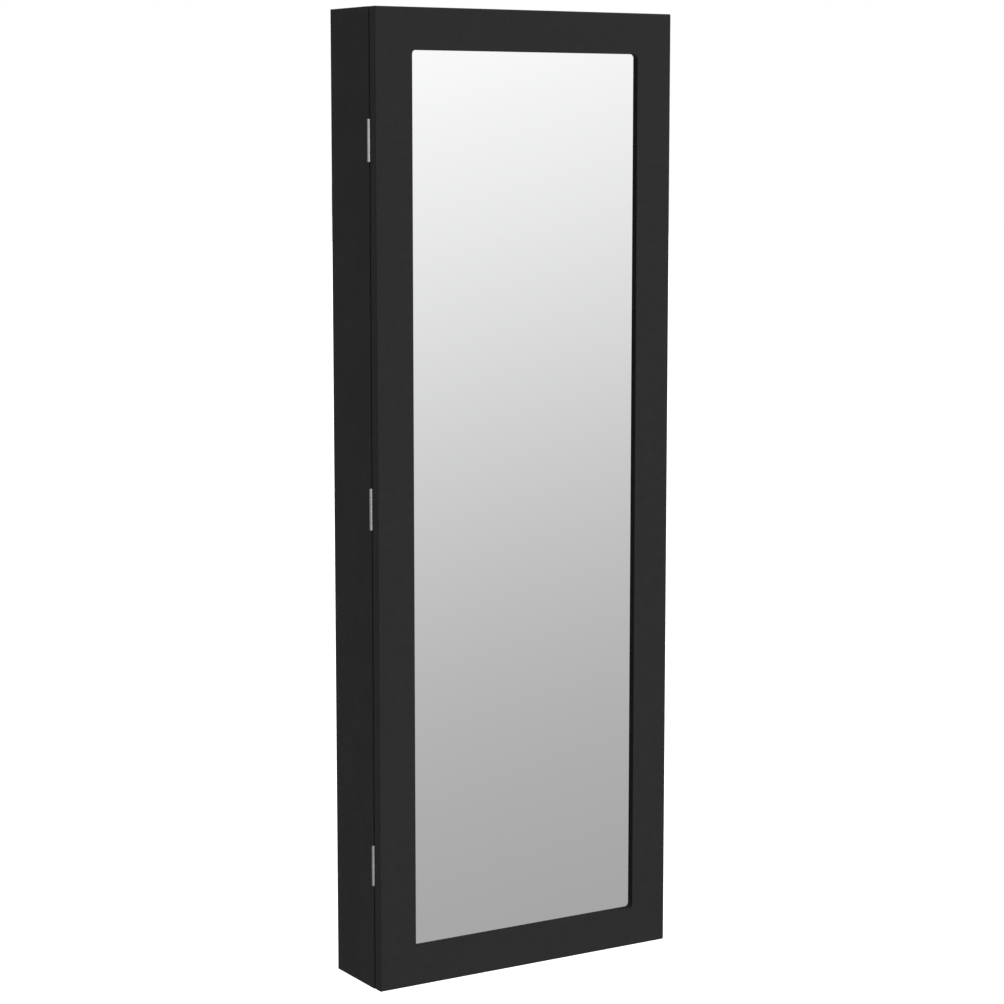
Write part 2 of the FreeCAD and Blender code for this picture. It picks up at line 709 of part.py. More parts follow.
# ---------------------------------------------------------------- earrings
EB_Z1 = RT_Z0 - 20.0
EB_Z0 = S2 + 14.0
EB_Y = Y_LINE - 12.0
b = body("earring_board")
sk = sketch(b, "XZ_Plane", -EB_Y)
rect(sk, RT_X0, EB_Z0, RT_X1, EB_Z1)
p = pad(b, sk, 2.0)
fillet(b, p, edges(b.Shape, lambda bb: bb.YLength > 1.9 and bb.XLength < 0.1 and bb.ZLength < 0.1), 3.0)
sk = sketch(b, "XZ_Plane", -EB_Y)
ec = (RT_X0 + RT_X1) / 2
e_px = 10.0
e_pz = (EB_Z1 - EB_Z0 - 36.0) / (D.ear_rows - 1)
circ(sk, ec - e_px * (D.ear_cols - 1) / 2, EB_Z0 + 18.0, D.ear_rad)
p = pocket(b, sk, 2.0, along=True)
pattern(b, [p], "X_Axis", e_px, D.ear_cols, "Z_Axis", e_pz, D.ear_rows)
sk = sketch(b, "XZ_Plane", -EB_Y)
EBS = [(x, z) for x in (RT_X0 + 5.0, RT_X1 - 5.0) for z in (EB_Z0 + 8.0, EB_Z1 - 8.0)]
for x, z in EBS:
    circ(sk, x, z, D.screw_rad)
pocket(b, sk, 2.0, along=True)
node(b, "earring_board")

b = body("earring_battens")
sk = sketch(b, "XZ_Plane", -Y_LINE)
rect(sk, RT_X0, EB_Z0, RT_X0 + 10.0, EB_Z1)
rect(sk, RT_X1 - 10.0, EB_Z0, RT_X1, EB_Z1)
pad(b, sk, 12.0)
sk = sketch(b, "XZ_Plane", -EB_Y)
for x, z in EBS:
    circ(sk, x, z, D.screw_rad)
pocket(b, sk, 8.0)
node(b, "earring_battens")

b, f = turned("earring_board_screws",
              [(0, 0), (D.screw_rad, 0), (D.screw_rad, 10.0), (2.3, 10.0), (2.1, 11.1), (1.3, 11.7), (0, 11.9)],
              "-y", RT_X0 + 5.0, EB_Y + 8.0, EB_Z0 + 8.0)
pattern(b, [f], "X_Axis", RT_X1 - RT_X0 - 10.0, 2, "Y_Axis", EB_Z1 - EB_Z0 - 16.0, 2)
node(b, "earring_board_screws")

# ---------------------------------------------------------------- lipstick holder
LH_W = D.socket_pitch * (D.socket_count - 1) + D.socket + 8.0
LH_X0 = ec - LH_W / 2
b = body("lipstick_holder")
sk = sketch(b, "XY_Plane", S3)
rect(sk, LH_X0, -42.0, LH_X0 + LH_W, -10.0)
p = pad(b, sk, 38.0)
fillet(b, p, edges(b.Shape, lambda bb: bb.ZLength > 30), 3.0)
sk = sketch(b, "XY_Plane", S3 + 38.0)
rect(sk, LH_X0 + 4.0, -37.0, LH_X0 + 4.0 + D.socket, -37.0 + D.socket)
p = pocket(b, sk, 35.0)
pattern(b, [p], "X_Axis", D.socket_pitch, D.socket_count)
node(b, "lipstick_holder")

# ---------------------------------------------------------------- wall hangers
for name, s in (("wall_hanger_left", -1), ("wall_hanger_right", 1)):
    hx = s * D.hang_half
    hw = D.hang_plate_w / 2
    b = body(name)
    sk = sketch(b, "XZ_Plane")
    rect(sk, hx - hw, -D.hang_plate_down, hx + hw, D.hang_plate_up)
    p = pad(b, sk, D.hang_plate_t)
    fillet(b, p, edges(b.Shape, lambda bb: bb.XLength < 0.05 and bb.ZLength < 0.05), 2.0)
    sk = sketch(b, "XZ_Plane")
    circ(sk, hx, 0, D.key_entry_rad)
    pocket(b, sk, D.hang_plate_t, along=True)
    sk = sketch(b, "XZ_Plane")
    rect(sk, hx - D.key_slot_half, 1.0, hx + D.key_slot_half, D.key_rise)
    pocket(b, sk, D.hang_plate_t, along=True)
    sk = sketch(b, "XZ_Plane")
    circ(sk, hx, D.key_rise, D.key_slot_half)
    pocket(b, sk, D.hang_plate_t, along=True)
    sk = sketch(b, "XZ_Plane")
    for z in HANG_ZS:
        circ(sk, hx, z, 1.8)
    p = pocket(b, sk, D.hang_plate_t, along=True)
    fillet(b, p, edges(b.Shape, lambda bb: near(bb.YMax, 0) and bb.YLength < 0.05 and near(bb.XLength, 3.6) and near(bb.ZLength, 3.6)), 0.7,
           "PartDesign::Chamfer", "Size")
    node(b, name)

b, f = turned("wall_hanger_screws", [(0, 0), (2.5, 0), (1.8, 0.7), (1.8, 0.8), (1.2, 0.8), (1.2, 14.0), (0, 14.8)],
              "-y", -D.hang_half, 0, HANG_ZS[1])
pattern(b, [f], "X_Axis", D.hang_half * 2, 2, "Y_Axis", HANG_ZS[0] - HANG_ZS[1], 2)
node(b, "wall_hanger_screws")

b, f = turned("wall_pads", [(0, 0), (5.0, 0), (5.0, D.hang_plate_t), (0, D.hang_plate_t)], "-y", -150.0, 0, Z_BOT + 30.0)
pattern(b, [f], "X_Axis", 300.0, 2)
node(b, "wall_pads")

# ---------------------------------------------------------------- closing
b, f = turned("door_magnets", [(0, 0), (5.0, 0), (5.0, 3.0), (0, 3.0)], "y", MAG_X, Y_CARC_F, MAG_ZS[0])
pattern(b, [f], "Y_Axis", MAG_ZS[0] - MAG_ZS[1], 2)
node(b, "door_magnets")

b, f = turned("door_buffers", [(0, 0), (4.0, 0), (4.0, D.door_gap - 0.6), (3.4, D.door_gap - 0.2), (0, D.door_gap - 0.2)],
              "-y", MAG_X, Y_CARC_F, Z_BOT + 20.0)
pattern(b, [f], "Y_Axis", D.cab_height - 40.0, 2)
node(b, "door_buffers")

MP_T = D.door_gap - 0.5
b, f = turned("magnet_plates", [(1.6, 0), (6.0, 0), (6.0, MP_T - 0.3), (5.7, MP_T), (2.3, MP_T), (1.6, MP_T - 1.0)],
              "y", MAG_X, Y_DOOR_B, MAG_ZS[0])
pattern(b, [f], "Y_Axis", MAG_ZS[0] - MAG_ZS[1], 2)
node(b, "magnet_plates")
b, f = turned("magnet_plate_screws",
              [(0, 0), (2.3, 0), (1.6, 1.0), (D.screw_rad, 1.0), (D.screw_rad, MP_T + 6.8), (0, MP_T + 7.4)],
              "-y", MAG_X, Y_DOOR_B + MP_T, MAG_ZS[1])
pattern(b, [f], "Y_Axis", MAG_ZS[0] - MAG_ZS[1], 2)
node(b, "magnet_plate_screws")

# ---------------------------------------------------------------- door
b = body("door_frame")
sk = sketch(b, "XZ_Plane", -Y_DOOR_B)
rect(sk, -X_OUT, Z_BOT, X_OUT, Z_TOP)
rect(sk, -OPEN_X, OPEN_ZB, OPEN_X, OPEN_ZT)
p = pad(b, sk, D.door_t)
p = fillet(b, p, edges(b.Shape, lambda bb: bb.YLength > 11 and bb.XLength < 0.1 and bb.ZLength < 0.1 and abs(bb.XMin) < 170), D.opening_rad)
p = fillet(b, p, edges(b.Shape, lambda bb: bb.YLength > 11 and bb.XLength < 0.1 and bb.ZLength < 0.1 and abs(bb.XMin) > 180), 1.2)
# front edges: rounded outside, eased at the opening
p = fillet(b, p, edges(b.Shape, lambda bb: near(bb.YMin, Y_DOOR_F) and bb.YLength < 0.1 and
                       (bb.XMin < -186 or bb.XMax > 186 or bb.ZMax > 209 or bb.ZMin < -849)), D.edge_round)
p = fillet(b, p, edges(b.Shape, lambda bb: near(bb.YMin, Y_DOOR_F) and bb.YLength < 0.1 and
                       bb.XMin > -150 and bb.XMax < 150 and bb.ZMax < 180 and bb.ZMin > -820), D.edge_ease)
p = fillet(b, p, edges(b.Shape, lambda bb: near(bb.YMin, Y_DOOR_B) and bb.YLength < 0.1 and
                       (bb.XMin < -186 or bb.XMax > 186 or bb.ZMax > 209 or bb.ZMin < -849)), D.edge_ease)
# rebate for the glass and its backing sheet, from behind
GX = OPEN_X + D.glass_lap
GZT = OPEN_ZT + D.glass_lap
GZB = OPEN_ZB - D.glass_lap
Y_GLASS_B = Y_DOOR_F + D.mirror_recess + D.glass_t
sk = sketch(b, "XZ_Plane", -Y_DOOR_B)
rect(sk, -GX, GZB, GX, GZT)
pocket(b, sk, D.door_t - D.mirror_recess, along=True)
# screw holes from behind: hinges, magnet plates, back board, lock catch
BOX_ = OPEN_X + D.board_lap
BZT = OPEN_ZT + D.board_lap
BZB = OPEN_ZB - D.board_lap
BS_X = OPEN_X + 10.6
BS_ZS = [BZB + 25.0 + k * 190.0 for k in range(6)]
CATCH = [(q(151.5), Z_LOCK - 11.0), (q(151.5), Z_LOCK - 22.0)]
sk = sketch(b, "XZ_Plane", -Y_DOOR_B)
for zc in Z_HINGES:
    for k in (-1, 1):
        circ(sk, X_AX + D.hinge_screw_x, zc + k * D.hinge_screw_z, D.screw_rad)
for z in MAG_ZS:
    circ(sk, MAG_X, z, D.screw_rad)
for s in (-1, 1):
    for z in BS_ZS:
        circ(sk, s * BS_X, z, D.screw_rad)
for x, z in CATCH:
    circ(sk, x, z, D.screw_rad)
pocket(b, sk, 7.6, along=True)
# grooves round the hinge knuckles
sk = sketch(b, "XY_Plane", Z_HINGES[2] - D.hinge_len / 2 - 0.3)
circ(sk, X_AX, Y_AX, D.relief_rad)
g = pocket(b, sk, D.hinge_len + 0.6, along=True)
pattern(b, [g], "Z_Axis", D.hinge_pitch, 3)
node(b, "door_frame")

# mirror glass in the rebate, with a backing sheet behind it, flush with the frame's back
b = body("mirror_glass")
sk = sketch(b, "XZ_Plane", -Y_GLASS_B)
rect(sk, -GX, GZB, GX, GZT)
pad(b, sk, D.glass_t)
node(b, "mirror_glass")
b = body("mirror_backing")
sk = sketch(b, "XZ_Plane", -Y_DOOR_B)
rect(sk, -GX, GZB, GX, GZT)
pad(b, sk, Y_DOOR_B - Y_GLASS_B)
node(b, "mirror_backing")

# back board that holds the glass and carries the fittings
DH_OUT = 6.0
Y_BOARD = Y_DOOR_B + D.board_t
b = body("door_back_board")
sk = sketch(b, "XZ_Plane", -Y_BOARD)
rect(sk, -BOX_, BZB, BOX_, BZT)
p = pad(b, sk, D.board_t)
fillet(b, p, edges(b.Shape, lambda bb: bb.YLength > 2.9 and bb.XLength < 0.1 and bb.ZLength < 0.1), 3.0)
sk = sketch(b, "XZ_Plane", -Y_BOARD)
for s in (-1, 1):
    for z in BS_ZS:
        circ(sk, s * BS_X, z, D.screw_rad)
for x, z in CATCH:
    circ(sk, x, z, D.screw_rad)
pocket(b, sk, D.board_t, along=True)
node(b, "door_back_board")

b, f = turned("door_back_screws",
              [(0, 0), (D.screw_rad, 0), (D.screw_rad, 10.0), (2.4, 10.0), (2.2, 11.1), (1.4, 11.7), (0, 11.9)],
              "y", -BS_X, Y_BOARD - 10.0, BS_ZS[5])
pattern(b, [f], "X_Axis", BS_X * 2, 2, "Y_Axis", 190.0, 6)
node(b, "door_back_screws")

# hook rails and hooks on the back board
RAIL_T = q(6.0)
DR_Z = [S1 + 8.0, S1 - 360.0]
DR_P = DR_Z[0] - DR_Z[1]
Y_DR = Y_BOARD + RAIL_T
dx0 = -(D.dhook_pitch * (D.dhook_count - 1) / 2)
b = body("door_hook_rail_low")
sk = sketch(b, "XZ_Plane", -Y_DR)
rect(sk, -125.0, DR_Z[1], 125.0, DR_Z[1] + 20.0)
p = pad(b, sk, RAIL_T)
p2 = fillet(b, p, edges(b.Shape, lambda bb: bb.XLength > 100 and near(bb.YMax, Y_DR) and bb.YLength < 0.1), 1.5)
sk = sketch(b, "XZ_Plane", -Y_DR)
circ(sk, dx0, DR_Z[1] + 6.0, D.hook_rad)
p3 = pocket(b, sk, D.hook_in, along=True)
p4 = pattern(b, [p3], "X_Axis", D.dhook_pitch, D.dhook_count)
b2 = body("door_hook_rail_up")
sk = sketch(b2, "XZ_Plane", -Y_DR)
rect(sk, -125.0, DR_Z[0], 125.0, DR_Z[0] + 20.0)
p = pad(b2, sk, RAIL_T)
p2 = fillet(b2, p, edges(b2.Shape, lambda bb: bb.XLength > 100 and near(bb.YMax, Y_DR) and bb.YLength < 0.1), 1.5)
sk = sketch(b2, "XZ_Plane", -Y_DR)
circ(sk, dx0, DR_Z[0] + 6.0, D.hook_rad)
p3 = pocket(b2, sk, D.hook_in, along=True)
pattern(b2, [p3], "X_Axis", D.dhook_pitch, D.dhook_count)
b.Label = "door_hook_rail_low"
node(group("door_rails", [b, b2]), "door_hook_rails")
hook_set("door_hooks", dx0, Y_DR, DR_Z[1] + 6.0, D.dhook_out, D.dhook_pitch, D.dhook_count, 1, 2, DR_P)

# catch tray at the foot of the door
DT_Z0 = Z_IN_BOT + 45.0
outer = box("tray_outer", -120.0, 120.0, Y_BOARD, Y_BOARD + 20.0, DT_Z0, DT_Z0 + 48.0)
inner = box("tray_inner", -117.5, 117.5, Y_BOARD + 2.5, Y_BOARD + 17.5, DT_Z0 + 2.5, DT_Z0 + 60.0)
node(cut("tray_cut", outer, inner), "door_tray")


# ---------------------------------------------------------------- hinges
K_LEN = (D.hinge_len - 2 * D.pin_head - 4 * D.knuckle_gap) / 5


def hinge(tag, zc):
    z0 = zc - D.hinge_len / 2 + D.pin_head
    z1 = zc + D.hinge_len / 2 - D.pin_head
    for side, sgn, owned in (("fixed", 1, (0, 2, 4)), ("door", -1, (1, 3))):
        ya, yb = Y_AX + sgn * D.leaf_play, Y_AX + sgn * (D.leaf_play + D.leaf_t)
        lo, hi = (ya, yb) if sgn > 0 else (yb, ya)
        n = "hinge_%s_leaf_%s" % (tag, side)
        parts = [box(n + "_plate", X_AX + 2.6, X_AX + D.leaf_w, lo, hi, z0, z1)]
        for k in owned:
            ka = z0 + (K_LEN + D.knuckle_gap) * k
            parts.append(box(n + "_tongue", X_AX + 1.4, X_AX + 2.8, lo, hi, ka, ka + K_LEN))
            parts.append(cyl(n + "_knuckle", "z", X_AX, Y_AX, ka, D.knuckle_rad, K_LEN))
        tools = [cyl(n + "_bore", "z", X_AX, Y_AX, z0 - 1, D.pin_rad if sgn > 0 else D.pin_rad + D.pin_play, z1 - z0 + 2)]
        for k in (-1, 1):
            # countersinks, wide at the exposed face
            tools.append(cone(n + "_sink", "y" if sgn > 0 else "-y", X_AX + D.hinge_screw_x, ya,
                              zc + k * D.hinge_screw_z, D.screw_head, D.screw_head - 0.7, D.leaf_t))
        node(cut(n + "_cut", fuse(n + "_blank", parts), fuse(n + "_tools", tools)), n)
    n = "hinge_%s_pin" % tag
    shaft = cyl(n + "_shaft", "z", X_AX, Y_AX, z0 - D.pin_head / 2, D.pin_rad, z1 - z0 + D.pin_head)
    low = cone(n + "_low", "z", X_AX, Y_AX, z0 - D.pin_head, D.pin_head_rad - 0.3, D.pin_head_rad, D.pin_head)
    top = cone(n + "_top", "z", X_AX, Y_AX, z1, D.pin_head_rad, D.pin_head_rad - 0.3, D.pin_head)
    return fuse(n + "_fuse", [shaft, low, top])


pins = [hinge(tag, zc) for tag, zc in zip(("top", "middle", "bottom"), Z_HINGES)]
node(group("pins_all", pins), "hinge_pins")

HS = [(0, 0), (D.screw_head, 0), (D.screw_head - 0.7, D.leaf_t), (D.screw_rad, D.leaf_t)]
b, f = turned("hinge_screws_fixed", HS + [(D.screw_rad, 9.0), (0, 9.8)], "y",
              X_AX + D.hinge_screw_x, Y_AX + D.leaf_play, Z_HINGES[0] + D.hinge_screw_z)
pattern(b, [f], "Y_Axis", D.hinge_screw_z * 2, 2, "Y_Axis", D.hinge_pitch, 3)
node(b, "hinge_screws_fixed")
b, f = turned("hinge_screws_door", HS + [(D.screw_rad, 7.4), (0, 8.2)], "-y",
              X_AX + D.hinge_screw_x, Y_AX - D.leaf_play, Z_HINGES[2] - D.hinge_screw_z)
pattern(b, [f], "Y_Axis", D.hinge_screw_z * 2, 2, "Y_Axis", D.hinge_pitch, 3)
node(b, "hinge_screws_door")

# ---------------------------------------------------------------- lock
XH0 = X_OUT - D.lock_len                       # barrel's inner end
b, f = turned("lock_housing",
              [(D.plug_rad + D.plug_play, 0), (D.lock_rad, 0), (D.lock_rad, D.lock_len), (D.lock_flange, D.lock_len),
               (D.lock_flange, D.lock_len + D.lock_flange_t - 0.8), (D.lock_flange - 0.8, D.lock_len + D.lock_flange_t),
               (D.plug_rad + D.plug_play, D.lock_len + D.lock_flange_t)], "x", XH0, Y_LOCK, Z_LOCK)
node(b, "lock_housing")

n = doc.addObject("Part::Prism", "nut_blank")
n.Polygon = 6
n.Circumradius = 11.6
bind(n, "Circumradius", D.lock_rad + 3.6)
n.Height = 2.6
place(n, X_IN - 2.6, Y_LOCK, Z_LOCK, ROT["x"])
node(cut("nut_cut", n, cyl("nut_bore", "x", X_IN - 4.0, Y_LOCK, Z_LOCK, D.lock_rad, 6.0)), "lock_nut")

# plug: key slot outside, square seat for the cam inside
PLUG_L = D.lock_len + D.lock_flange_t + 0.3
b, f = turned("lock_plug", [(0, 0), (D.plug_rad, 0), (D.plug_rad, PLUG_L - 0.5), (D.plug_rad - 0.5, PLUG_L), (0, PLUG_L)],
              "x", XH0 - 0.5, Y_LOCK, Z_LOCK)
sk = sketch(b, "XY_Plane")
rect(sk, -3.0, -3.0, 3.0, 3.0)
pad(b, sk, D.cam_t, back=True)
sk = sketch(b, "XY_Plane", PLUG_L)
rect(sk, -4.0, -1.1, 4.0, 1.1)
pocket(b, sk, 8.0)
sk = sketch(b, "XY_Plane", -D.cam_t)
circ(sk, 0, 0, 1.5)
pocket(b, sk, 7.0, along=True)
node(b, "lock_plug")

XC1 = XH0 - 0.5
XC0 = XC1 - D.cam_t
b = body("lock_cam")
sk = sketch(b, "YZ_Plane", XC0)
circ(sk, Y_LOCK, Z_LOCK, 6.6)
pad(b, sk, D.cam_t)
sk = sketch(b, "YZ_Plane", XC0)
rect(sk, Y_LOCK - D.cam_len, Z_LOCK - D.cam_half, Y_LOCK, Z_LOCK + D.cam_half)
pad(b, sk, D.cam_t)
sk = sketch(b, "YZ_Plane", XC0)
rect(sk, Y_LOCK - 3.0, Z_LOCK - 3.0, Y_LOCK + 3.0, Z_LOCK + 3.0)
pocket(b, sk, D.cam_t, along=True)
node(b, "lock_cam")

b, f = turned("lock_cam_screw", [(0, 0), (2.6, 0), (3.6, 0.7), (3.6, 2.2), (1.5, 2.2), (1.5, 8.2), (0, 8.2)], "x", XC0 - 2.2, Y_LOCK, Z_LOCK)
node(b, "lock_cam_screw")

# catch: a bent strip on the door whose lip stands behind the turned cam
CT = 1.2
Y_LIP = Y_LOCK + D.cam_half + 0.5
base = box("catch_base", 146.0, 158.2, Y_BOARD, Y_BOARD + CT, Z_LOCK - 27.0, Z_LOCK - 6.0)
web = box("catch_web", 157.0, 158.2, Y_BOARD, Y_LIP + CT, Z_LOCK - 22.0, Z_LOCK - 8.0)
lip = box("catch_lip", 157.0, 168.0, Y_LIP, Y_LIP + CT, Z_LOCK - 17.0, Z_LOCK - 8.0)
holes = fuse("catch_holes", [cyl("catch_hole", "y", x, Y_BOARD - 1.0, z, D.screw_rad, 4.0) for x, z in CATCH])
node(cut("catch_cut", fuse("catch_blank", [base, web, lip]), holes), "lock_catch")
b, f = turned("lock_catch_screws",
              [(0, 0), (D.screw_rad, 0), (D.screw_rad, 9.0), (2.4, 9.0), (2.2, 10.1), (1.4, 10.6), (0, 10.8)],
              "y", 151.5, Y_BOARD + CT - 9.0, Z_LOCK - 11.0)
pattern(b, [f], "Y_Axis", 11.0, 2)
node(b, "lock_catch_screws")

# ---------------------------------------------------------------- check and write
doc.recompute()
bad = [o.Name for o in doc.Objects if any(s in ("Invalid", "Error") for s in o.State)]
if bad:
    raise RuntimeError("failed objects: %s" % bad)
labels = [n for n, o in NODES]
if len(set(labels)) != len(labels):
    raise RuntimeError("two pieces share a name")
for name, obj in NODES:
    if obj.Label != name:
        raise RuntimeError("label of %s is %s" % (name, obj.Label))
    if obj.Shape.isNull() or not obj.Shape.isValid() or not obj.Shape.Solids:
        raise RuntimeError("%s has no sound shape" % name)
os.makedirs("parts", exist_ok=True)
for name, obj in NODES:
    obj.Shape.exportStep("parts/%s.step" % name)
    bb = obj.Shape.BoundBox
    print("%-26s solids %2d  vol %10.1f  x %8.2f %8.2f  y %8.2f %8.2f  z %8.2f %8.2f" % (
        name, len(obj.Shape.Solids), obj.Shape.Volume, bb.XMin, bb.XMax, bb.YMin, bb.YMax, bb.ZMin, bb.ZMax))
print(len(NODES), "pieces")
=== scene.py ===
import json
import math

import bmesh
import bpy
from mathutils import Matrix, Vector, noise


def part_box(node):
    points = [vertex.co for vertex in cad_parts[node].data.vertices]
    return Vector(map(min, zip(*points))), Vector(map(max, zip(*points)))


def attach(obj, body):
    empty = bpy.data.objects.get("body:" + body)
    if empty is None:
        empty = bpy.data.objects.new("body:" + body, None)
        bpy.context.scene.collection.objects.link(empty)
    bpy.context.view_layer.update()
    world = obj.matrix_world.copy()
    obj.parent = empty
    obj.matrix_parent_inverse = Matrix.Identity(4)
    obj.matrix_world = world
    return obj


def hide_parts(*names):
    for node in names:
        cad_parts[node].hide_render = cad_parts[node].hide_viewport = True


# Wall-hung jewelry mirror cabinet: finishes, padded ring rolls, light and view.
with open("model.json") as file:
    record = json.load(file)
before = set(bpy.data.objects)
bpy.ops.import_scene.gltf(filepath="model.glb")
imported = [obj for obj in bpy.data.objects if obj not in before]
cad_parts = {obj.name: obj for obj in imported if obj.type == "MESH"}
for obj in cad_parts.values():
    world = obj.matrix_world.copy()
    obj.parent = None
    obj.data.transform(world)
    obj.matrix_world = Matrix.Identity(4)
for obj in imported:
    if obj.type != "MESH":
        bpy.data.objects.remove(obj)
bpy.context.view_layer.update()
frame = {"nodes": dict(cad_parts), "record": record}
nodes = frame["nodes"]
scene = bpy.context.scene


# ---------------------------------------------------------------- camera
cam_data = bpy.data.cameras.new("camera")
cam = bpy.data.objects.new("camera", cam_data)
scene.collection.objects.link(cam)
cam_data.sensor_fit = "HORIZONTAL"
cam_data.sensor_width = 36.0
cam_data.lens = 95.44
cam_data.shift_y = -0.015
cam_data.clip_start = 0.05
cam_data.clip_end = 100.0
cam.location = (-1.5370, -2.5627, 0.0743)
cam.rotation_euler = (math.radians(90.0 - 7.483), 0.0, math.radians(-31.418))
scene.camera = cam


# ---------------------------------------------------------------- materials
class Surface:
    """A principled material, with short ways to drive it from patterns."""

    def __init__(self, name, color, rough, metallic=0.0, **sockets):
        self.mat = bpy.data.materials.new(name)
        self.mat.use_nodes = True
        self.tree = self.mat.node_tree
        self.bsdf = self.tree.nodes["Principled BSDF"]
        self.put("Base Color", (*color, 1.0))
        self.put("Roughness", rough)
        self.put("Metallic", metallic)
        for key, value in sockets.items():
            self.put(key.replace("_", " "), value)
        self.mat.diffuse_color = (*color, 1.0)
        self.co = self.node("ShaderNodeTexCoord").outputs["Object"]
        self.last_bump = None

    def put(self, socket, value):
        self.bsdf.inputs[socket].default_value = value

    def node(self, kind, **props):
        n = self.tree.nodes.new(kind)
        for key, value in props.items():
            setattr(n, key, value)
        return n

    def link(self, a, b):
        self.tree.links.new(a, b)

    def stretched(self, stretch, turn=(0, 0, 0)):
        n = self.node("ShaderNodeMapping")
        self.link(self.co, n.inputs["Vector"])
        n.inputs["Scale"].default_value = stretch
        n.inputs["Rotation"].default_value = turn
        return n.outputs["Vector"]

    def noise(self, scale, detail=2.0, rough=0.5, stretch=None, distort=0.0, turn=(0, 0, 0)):
        n = self.node("ShaderNodeTexNoise")
        self.link(self.stretched(stretch, turn) if stretch else self.co, n.inputs["Vector"])
        n.inputs["Scale"].default_value = scale
        n.inputs["Detail"].default_value = detail
        n.inputs["Roughness"].default_value = rough
        n.inputs["Distortion"].default_value = distort
        return n.outputs[0]

    def cells(self, scale, stretch=None):
        n = self.node("ShaderNodeTexVoronoi")
        self.link(self.stretched(stretch) if stretch else self.co, n.inputs["Vector"])
        n.inputs["Scale"].default_value = scale
        return n.outputs["Distance"]

    def span(self, value, low, high, at0=0.3, at1=0.7):
        n = self.node("ShaderNodeMapRange")
        n.clamp = True
        self.link(value, n.inputs["Value"])
        for key, number in (("From Min", at0), ("From Max", at1), ("To Min", low), ("To Max", high)):
            n.inputs[key].default_value = number
        return n.outputs[0]

    def mix(self, fac, a, b):
        n = self.node("ShaderNodeMix", data_type="RGBA")
        self.link(fac, n.inputs[0])
        for slot, value in ((6, a), (7, b)):
            if isinstance(value, tuple):
                n.inputs[slot].default_value = (*value, 1.0)
            else:
                self.link(value, n.inputs[slot])
        return n.outputs[2]

    def color(self, value):
        self.link(value, self.bsdf.inputs["Base Color"])

    def rough(self, value):
        self.link(value, self.bsdf.inputs["Roughness"])

    def bump(self, height, distance, strength=1.0):
        n = self.node("ShaderNodeBump")
        n.inputs["Strength"].default_value = strength
        n.inputs["Distance"].default_value = distance
        self.link(height, n.inputs["Height"])
        if self.last_bump is not None:
            self.link(self.last_bump, n.inputs["Normal"])
        self.last_bump = n.outputs["Normal"]
        self.link(self.last_bump, self.bsdf.inputs["Normal"])


def film_tone(s, dark, light):
    """Slow clouds of tone, with a fine speckle of the film's print over them."""
    clouds = s.mix(s.span(s.noise(5.0, 3.0), 0.0, 1.0), dark, light)
    speckle = s.span(s.noise(620.0, 3.0, 0.65), 0.0, 1.0, 0.32, 0.72)
    low = s.mix(s.span(s.noise(5.0, 3.0), 0.0, 1.0), tuple(0.80 * c for c in dark), tuple(0.80 * c for c in light))
    return s.mix(speckle, low, s.mix(s.span(s.noise(90.0, 4.0, 0.6), 0.0, 1.0), clouds, tuple(1.30 * c for c in light)))


def film_relief(s):
    """Orange peel from the board below and the film's own fine grain."""
    s.bump(s.noise(210.0, 2.0), 0.00006, 0.40)
    s.bump(s.noise(1100.0, 3.0, 0.6), 0.00006, 0.55)


def board(name, dark, light, rough_low, rough_high, level):
    """Satin black film on fibreboard: a faint orange peel, fine grain, soft uneven gloss."""
    s = Surface(name, light, rough_high, Specular_IOR_Level=level)
    s.color(film_tone(s, dark, light))
    s.rough(s.span(s.noise(22.0, 4.0, 0.6), rough_low, rough_high))
    film_relief(s)
    return s.mat


def door_board():
    """The door frame's film, with the routed side and bottom walls of the mirror opening left matte and their colour
    darkened as painted shade.
    """
    s = Surface("satin_black_door", (0.0205, 0.0205, 0.0207), 0.5, Specular_IOR_Level=0.15)
    film = film_tone(s, (0.0188, 0.0188, 0.0190), (0.0209, 0.0209, 0.0211))
    sep = s.node("ShaderNodeSeparateXYZ")
    s.link(s.co, sep.inputs[0])

    def maths(op, a, b):
        n = s.node("ShaderNodeMath", operation=op)
        for k, value in enumerate((a, b)):
            if isinstance(value, (int, float)):
                n.inputs[k].default_value = value
            else:
                s.link(value, n.inputs[k])
        return n.outputs[0]

    # half width 142.9 mm, from 165.4 mm down to -805.4 mm
    across = maths("SUBTRACT", maths("ABSOLUTE", sep.outputs["X"], 0.0), 0.1429)
    below = maths("SUBTRACT", -0.8054, sep.outputs["Z"])
    # the bottom wall, which faces up and catches more light, gets only half as much painted shade and matte
    up = maths("MULTIPLY", s.span(sep.outputs["Z"], 1.0, 0.0, 0.1594, 0.1644), s.span(sep.outputs["Z"], 0.55, 1.0, -0.8040, -0.7990))
    matte_wall_painted_shade = maths("MULTIPLY", s.span(across, 1.0, 0.0, 0.00005, 0.0003), maths("MULTIPLY", s.span(below, 1.0, 0.0, 0.00005, 0.0003), up))
    # painted shade: the opening's walls are coloured far darker than the film, standing in for the shade in the recess
    s.color(s.mix(matte_wall_painted_shade, film, (0.0068, 0.0068, 0.0068)))
    s.rough(s.span(matte_wall_painted_shade, 0.49, 0.95, 0.0, 1.0))
    film_relief(s)
    return s.mat


def velvet(name, dark, light, sheen, nap):
    """Short black pile: brushed patches, a fibre grain, a soft sheen at grazing angles."""
    s = Surface(name, light, 0.95, Sheen_Weight=sheen, Sheen_Roughness=0.45, Specular_IOR_Level=0.15)
    s.put("Sheen Tint", (0.72, 0.72, 0.78, 1.0))
    patches = s.noise(16.0, 4.0, 0.6, stretch=nap, distort=0.6)
    fibres = s.noise(1100.0, 3.0, 0.7)
    tone = s.mix(s.span(patches, 0.0, 1.0, 0.35, 0.65), dark, light)
    s.color(s.mix(s.span(fibres, 0.0, 0.6, 0.42, 0.75), tone, tuple(2.2 * c for c in light)))
    s.rough(s.span(patches, 0.86, 1.0))
    s.bump(fibres, 0.00035, 0.6)
    s.bump(patches, 0.0006, 0.25)
    return s.mat


